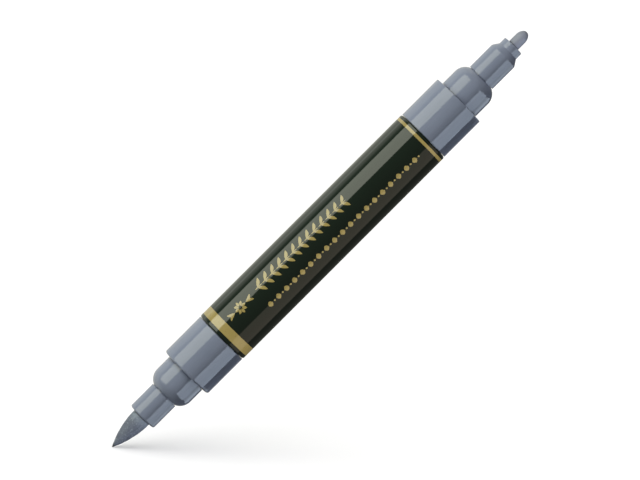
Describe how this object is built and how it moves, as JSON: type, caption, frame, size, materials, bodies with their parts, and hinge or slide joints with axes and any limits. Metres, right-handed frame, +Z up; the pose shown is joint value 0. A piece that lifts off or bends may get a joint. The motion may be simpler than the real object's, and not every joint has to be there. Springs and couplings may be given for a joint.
{
  "type": "felt tip marker",
  "caption": "Double-ended felt tip marker with a round barrel, gold bands, a soft brush nib at one end and a firm bullet nib at the other, shown uncapped.",
  "frame": {"origin": "on the marker's axis, halfway along its overall length", "axes": "+X along the axis towards the firm fibre nib, -X towards the brush nib, +Z up, with the marker lying on its side"},
  "size_m": [0.1254, 0.013, 0.013],
  "materials": {
    "barrel_plastic": "polished moulding, very dark green",
    "gold_foil": "hot-stamped gold foil, satin",
    "section_plastic": "semi-gloss moulding, blue-grey in the ink's colour",
    "brush_felt": "dense felt soaked with grey ink",
    "fibre_felt": "bonded fibre rod soaked with grey ink",
    "wick_fibre": "bundled polyester fibre soaked with grey ink",
    "clear_film": "thin clear film"
  },
  "bodies": {
    "marker_body": {"barrel": "barrel_plastic", "wide_gold_band": "gold_foil", "narrow_gold_band": "gold_foil", "brush_section": "section_plastic", "fibre_section": "section_plastic", "fibre_nib": "fibre_felt", "ink_wick": "wick_fibre", "wick_film": "clear_film"},
    "brush_tip": {"brush_nib": "brush_felt"}
  },
  "joints": [
    {"name": "brush_flex", "type": "hinge", "parent": "marker_body", "child": "brush_tip", "pos_m": [-0.05359, 0, 0], "axis": [0, 0, 1], "range_deg": [-20, 20], "stiffness_Nm_per_rad": 0.013, "deforming": ["brush_nib"]}
  ]
}
